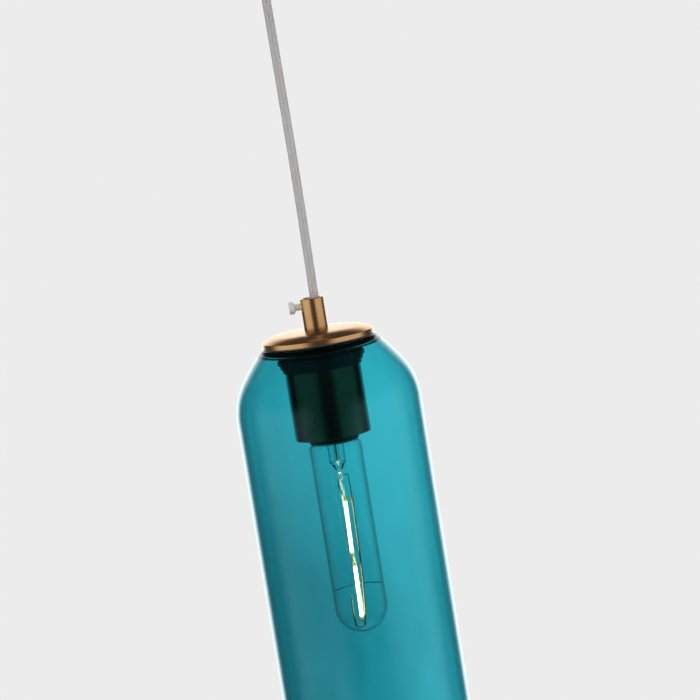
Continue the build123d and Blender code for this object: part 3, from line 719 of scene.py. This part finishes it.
# Radii, heights and turning points of the blown shade, and its tints for one crossing of the skin
shadeSetup = {
    "radius": 0.055,
    "length": 0.300,
    "wall": 0.0028,
    "dome": 0.0405,
    "flatRadius": 0.0346,
    "flatEdge": 0.0008,
    "turnOut": 0.642,
    "turnDown": 0.413,
    "flange": 0.004,
    "rimRound": 0.00125,
    "holeFit": 0.0007,
    "holeRound": 0.0003,
    "flatStep": 0.0012,
    "wallSteps": 14,
    "segments": 224,
    "edgeStart": 0.35,
    "underTurn": 0.012,
    "lipSteps": 6,
    "lowerSteps": 18,
    "upperSteps": 14,
    "edgeSteps": 4,
    "holeSteps": 3,
    "teal": (0.030, 0.470, 0.570),
    # Darker teal for the foot, the clouds and the painted shade on one side
    "tealDeepAndShaded": (0.007, 0.180, 0.232),
    "tealEdge": (0.003, 0.110, 0.155),
    "bareEdge": (0.96, 1.0, 1.0),
    "inside": (1.0, 1.0, 1.0),
    "insideBreath": (0.965, 0.99, 0.995),
    "shine": (0.4, 0.4, 0.4),
    "tealRim": (0.45, 0.70),
    "bareRim": (0.76, 0.80),
    "deepFrom": -0.440,
    "deepTo": -0.290,
    # Share of the painted shade across the shade, darker towards -X
    "paintedSideShadeShare": 0.52,
    "heightShare": 0.38,
    "cloudShare": 0.55,
    "leastShare": 0.08,
    "waveScale": 26.0,
    "waveDepth": 0.0004,
}


def spun(name, profile, segments):
    # Turns a closed profile of (radius, height, finish index) points about the upright axis
    work = bmesh.new()
    rings = []
    for radius, height, _ in profile:
        ring = []
        for step in range(segments):
            angle = 2.0 * math.pi * step / segments
            place = (radius * math.cos(angle), radius * math.sin(angle), height)
            ring.append(work.verts.new(place))
        rings.append(ring)
    for index, ring in enumerate(rings):
        follow = rings[(index + 1) % len(rings)]
        for step in range(segments):
            after = (step + 1) % segments
            face = work.faces.new((ring[step], ring[after], follow[after], follow[step]))
            face.material_index = profile[index][2]
            face.smooth = True
    bmesh.ops.recalc_face_normals(work, faces=work.faces)
    mesh = bpy.data.meshes.new(name)
    work.to_mesh(mesh)
    work.free()
    return addObject(name, mesh)


def arcPoints(centre, radius, start, end, steps):
    points = []
    for step in range(steps + 1):
        angle = start + (end - start) * step / steps
        points.append((centre[0] + radius * math.cos(angle), centre[1] + radius * math.sin(angle)))
    return points


def shoulderArcs(size, edgeZ, wallZ):
    # The shoulder is two arcs that share a tangent: upright at the wall, then over to the flat top
    turnR = size["flatRadius"] + size["turnOut"] * (size["radius"] - size["flatRadius"])
    turnZ = edgeZ - size["turnDown"] * (edgeZ - wallZ)
    inset = size["radius"] - turnR
    lower = ((turnZ - wallZ) ** 2 + inset ** 2) / (2.0 * inset)
    lowerMiddle = (size["radius"] - lower, wallZ)
    toward = ((lowerMiddle[0] - turnR) / lower, (lowerMiddle[1] - turnZ) / lower)
    stepR = size["flatRadius"] - turnR
    stepZ = edgeZ - turnZ
    upper = (stepR ** 2 + stepZ ** 2) / (2.0 * (stepR * toward[0] + stepZ * toward[1]))
    upperMiddle = (turnR + upper * toward[0], turnZ + upper * toward[1])
    turnAngle = math.atan2(turnZ - lowerMiddle[1], turnR - lowerMiddle[0])
    edgeAngle = math.atan2(edgeZ - upperMiddle[1], size["flatRadius"] - upperMiddle[0])
    return lower, lowerMiddle, upper, upperMiddle, turnAngle, edgeAngle


def wallPoints(radius, low, high, count):
    return [(radius, low + (high - low) * number / count) for number in range(1, count)]


def shadeProfile():
    # Up the outside from the foot to the hole, then down the inside
    size = shadeSetup
    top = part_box("glass_shade")[1].z
    edgeZ = top - size["flatEdge"]
    wallZ = top - size["dome"]
    lower, lowerMiddle, upper, upperMiddle, turnAngle, edgeAngle = shoulderArcs(size, edgeZ, wallZ)
    wall = size["wall"]
    lip = size["rimRound"]
    lipZ = top - size["length"] + lip
    under = top - size["flange"]
    underAngle = math.asin((under - upperMiddle[1]) / (upper - wall))
    corner = (upper - wall) * math.cos(underAngle) + upperMiddle[0]
    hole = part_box("holder_sleeve")[1].x + size["holeFit"]
    edge = size["holeRound"]
    shelf = size["flatStep"]
    flat = size["flatRadius"] - size["flatEdge"]
    outer = arcPoints((size["radius"] - lip, lipZ), lip, -math.pi / 2, 0.0, size["lipSteps"])
    outer += wallPoints(size["radius"], lipZ, wallZ, size["wallSteps"])
    outer += arcPoints(lowerMiddle, lower, 0.0, turnAngle, size["lowerSteps"])
    outer += arcPoints(upperMiddle, upper, turnAngle, edgeAngle, size["upperSteps"])[1:]
    edgeArc = (size["edgeStart"], math.pi / 2, size["edgeSteps"])
    outer += arcPoints((flat, edgeZ), size["flatEdge"], *edgeArc)
    outer += [(flat - shelf / 2, top), (hole + shelf, top)]
    outer += arcPoints((hole + edge, top - edge), edge, math.pi / 2, math.pi, size["holeSteps"])
    holeFoot = (hole + edge, under + edge)
    inner = arcPoints(holeFoot, edge, math.pi, 1.5 * math.pi, size["holeSteps"])
    inner += [(hole + shelf, under), (corner - shelf, under), (corner - shelf / 3, under)]
    underStart = underAngle - size["underTurn"]
    inner += arcPoints(upperMiddle, upper - wall, underStart, turnAngle, size["upperSteps"])
    inner += arcPoints(lowerMiddle, lower - wall, turnAngle, 0.0, size["lowerSteps"])[1:]
    inner += wallPoints(size["radius"] - wall, wallZ, lipZ, size["wallSteps"])
    innerLip = (size["radius"] - wall + lip, lipZ)
    inner += arcPoints(innerLip, lip, math.pi, 1.5 * math.pi, size["lipSteps"])
    return [(r, z, 0) for r, z in outer] + [(r, z, 1) for r, z in inner]


def tealGlass():
    # Teal glass: darker towards the foot, darker towards one side as painted shade, and darker where
    # the wall is seen edge on
    material, board = newFinish("shadeTeal")
    place = board.objectPlace()
    parts = board.node("ShaderNodeSeparateXYZ", None, {0: place})
    cloud = board.noise(board.vector("MULTIPLY", place, (1.0, 1.0, 0.55)), 34.0, 3.0, 0.5)
    # Painted shade: the tint darkens towards -X and lightens towards +X
    across = board.spread(parts, -0.05, 0.05)
    down = board.spread(parts.out("Z"), shadeSetup["deepFrom"], shadeSetup["deepTo"])
    share = across * shadeSetup["paintedSideShadeShare"] + down * shadeSetup["heightShare"]
    share = share + (cloud - 0.5) * shadeSetup["cloudShare"] + shadeSetup["leastShare"]
    tone = board.mixColour(board.spread(share, 0.0, 1.0), shadeSetup["tealDeepAndShaded"], shadeSetup["teal"])
    facing = board.node("ShaderNodeLayerWeight", None, {"Blend": 0.5}).out("Facing")
    rim = board.spread(facing, *shadeSetup["tealRim"])
    tone = board.mixColour(rim, tone, shadeSetup["tealEdge"])
    rim = board.spread(facing, *shadeSetup["bareRim"])
    tone = board.mixColour(rim, tone, shadeSetup["bareEdge"])
    wave = board.noise(place, shadeSetup["waveScale"], 1.0)
    normal = board.bump(wave, 0.05, shadeSetup["waveDepth"])
    finishWith(board, {
        "Base Color": tone, "Roughness": 0.0, "IOR": glassSetup["index"], "Transmission Weight": 1.0,
        "Normal": normal, "Specular Tint": shadeSetup["shine"],
    })
    return material


def innerGlass():
    material, board = newFinish("shadeInside")
    place = board.objectPlace()
    breath = board.noise(place, 45.0, 2.0)
    tone = board.mixColour(breath, shadeSetup["insideBreath"], shadeSetup["inside"])
    finishWith(board, {
        "Base Color": tone, "Roughness": 0.0, "IOR": glassSetup["index"], "Transmission Weight": 1.0,
    })
    return material


def makeShade():
    shade = spun("blownShade", shadeProfile(), shadeSetup["segments"])
    shade.data.materials.append(tealGlass())
    shade.data.materials.append(innerGlass())
    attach(shade, "lamp")
    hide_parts("glass_shade")


makeShade()
print("glass shade ready")

print("all pieces ready")
